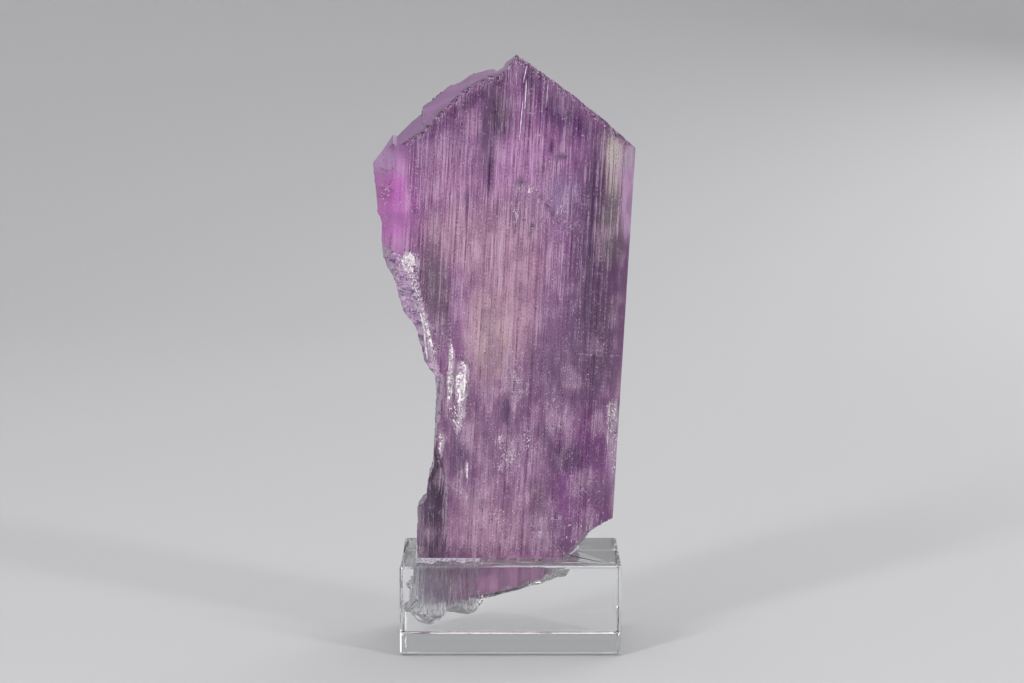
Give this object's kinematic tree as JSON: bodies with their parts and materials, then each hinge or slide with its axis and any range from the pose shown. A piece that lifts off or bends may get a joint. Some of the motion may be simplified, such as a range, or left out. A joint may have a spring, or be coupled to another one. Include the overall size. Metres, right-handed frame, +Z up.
{
  "type": "kunzite crystal",
  "caption": "Flattened, striated pink-violet kunzite crystal with a slanted tip, standing upright in the carved socket of a clear acrylic block.",
  "frame": {"origin": "middle of the bounding box, on the underside of the block", "axes": "+Z up, nearly along the crystal's long axis; -Y towards the viewer of the crystal's broad front face"},
  "size_m": [0.074, 0.05, 0.1672],
  "materials": {
    "kunzite": "natural crystal, striated and see-through",
    "acrylic": "clear acrylic, polished outside, frosted where it is carved"
  },
  "bodies": {
    "root": {"crystal": "kunzite", "base": "acrylic"}
  },
  "joints": []
}
